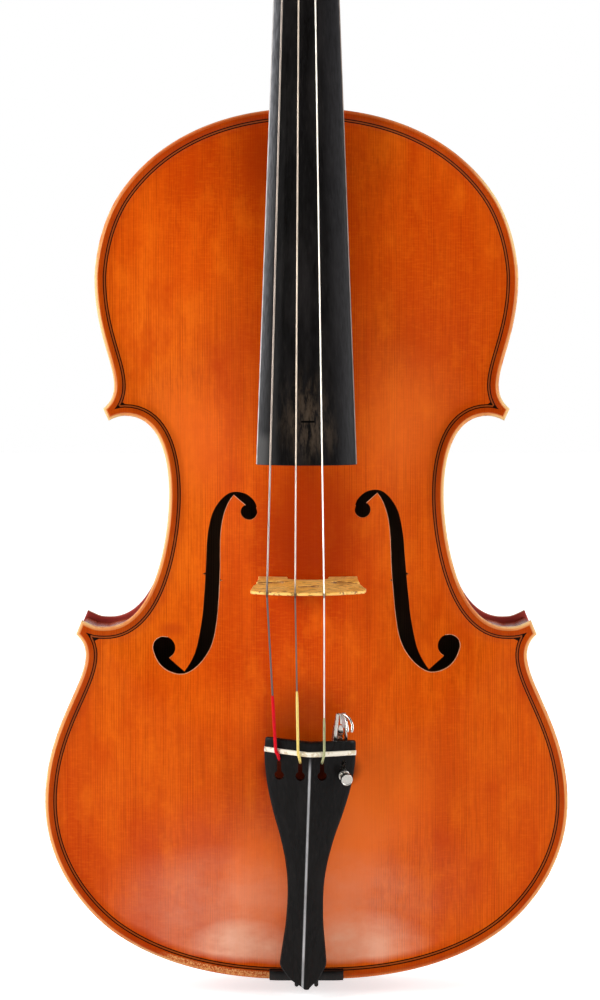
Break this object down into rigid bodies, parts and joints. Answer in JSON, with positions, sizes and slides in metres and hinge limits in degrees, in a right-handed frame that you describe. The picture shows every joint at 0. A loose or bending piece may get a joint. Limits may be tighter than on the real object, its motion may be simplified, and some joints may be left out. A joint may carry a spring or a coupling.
{
  "type": "viola",
  "caption": "Viola with arched plates, sound holes, scroll head, turning pegs, strings on a carved bridge, ridged tailpiece and a fine tuner.",
  "frame": {"origin": "centre of the end button's flat outer face", "axes": "+Z along the body to the scroll, +X towards the treble side, the top plate faces -Y"},
  "size_m": [0.2454, 0.1128, 0.6908],
  "materials": {
    "varnished_spruce": "orange-red oil varnish, worn at the edges",
    "varnished_maple": "red-brown oil varnish",
    "bare_spruce": "unvarnished",
    "ebony": "oiled, satin, worn",
    "bridge_maple": "unvarnished, stained tan",
    "white_fret": "satin",
    "black_nylon": "satin",
    "nickel": "nickel plate, slightly dull",
    "wound_silver": "fine metal winding",
    "red_silk": "silk wrapping",
    "yellow_silk": "silk wrapping",
    "green_silk": "silk wrapping"
  },
  "bodies": {
    "instrument": {"back_plate": "varnished_maple", "bass_bar": "bare_spruce", "bottom_block": "bare_spruce", "bridge": "bridge_maple", "corner_block_lower_bass": "bare_spruce", "corner_block_lower_treble": "bare_spruce", "corner_block_upper_bass": "bare_spruce", "corner_block_upper_treble": "bare_spruce", "end_button": "ebony", "fingerboard": "ebony", "lining_back_lower_bass": "bare_spruce", "lining_back_lower_treble": "bare_spruce", "lining_back_middle_bass": "bare_spruce", "lining_back_middle_treble": "bare_spruce", "lining_back_upper_bass": "bare_spruce", "lining_back_upper_treble": "bare_spruce", "lining_top_lower_bass": "bare_spruce", "lining_top_lower_treble": "bare_spruce", "lining_top_middle_bass": "bare_spruce", "lining_top_middle_treble": "bare_spruce", "lining_top_upper_bass": "bare_spruce", "lining_top_upper_treble": "bare_spruce", "neck": "varnished_maple", "nut": "ebony", "rib_lower_bass": "varnished_maple", "rib_lower_treble": "varnished_maple", "rib_middle_bass": "varnished_maple", "rib_middle_treble": "varnished_maple", "rib_upper_bass": "varnished_maple", "rib_upper_treble": "varnished_maple", "saddle": "ebony", "silk_c": "red_silk", "silk_d": "green_silk", "silk_g": "yellow_silk", "sound_post": "bare_spruce", "string_c": "wound_silver", "string_d": "wound_silver", "string_g": "wound_silver", "tailgut": "black_nylon", "tailpiece": "ebony", "tailpiece_fret": "white_fret", "top_block": "bare_spruce", "top_plate": "varnished_spruce", "tuner_frame": "nickel", "tuner_nut": "nickel", "tuner_pin": "nickel"},
    "peg_a": {"peg_a": "ebony"},
    "peg_c": {"peg_c": "ebony"},
    "peg_d": {"peg_d": "ebony"},
    "peg_g": {"peg_g": "ebony"},
    "tuner_screw": {"tuner_screw": "nickel"},
    "tuner_lever": {"tuner_lever": "nickel"}
  },
  "joints": [
    {"name": "peg_a_turn", "type": "hinge", "parent": "instrument", "child": "peg_a", "pos_m": [0.0137, -0.00372, 0.58319], "axis": [1, 0, 0], "continuous": true},
    {"name": "peg_c_turn", "type": "hinge", "parent": "instrument", "child": "peg_c", "pos_m": [-0.01316, 0.00016, 0.59768], "axis": [-1, 0, 0], "continuous": true},
    {"name": "peg_d_turn", "type": "hinge", "parent": "instrument", "child": "peg_d", "pos_m": [0.01213, 0.00638, 0.62086], "axis": [1, 0, 0], "continuous": true},
    {"name": "peg_g_turn", "type": "hinge", "parent": "instrument", "child": "peg_g", "pos_m": [-0.01145, 0.01026, 0.63535], "axis": [-1, 0, 0], "continuous": true},
    {"name": "tuner_screw_turn", "type": "hinge", "parent": "instrument", "child": "tuner_screw", "pos_m": [0.0171, -0.05021, 0.1078], "axis": [0.225, -0.9522, -0.2066], "range_deg": [0, 1080]},
    {"name": "tuner_lever_tilt", "type": "hinge", "parent": "instrument", "child": "tuner_lever", "pos_m": [0.01503, -0.044, 0.12143], "axis": [0.9744, 0.2198, 0.0477], "range_deg": [0, 9]}
  ],
  "couplings": [
    {"joint": "tuner_lever_tilt", "follows": "tuner_screw_turn", "ratio": 0.00796}
  ]
}
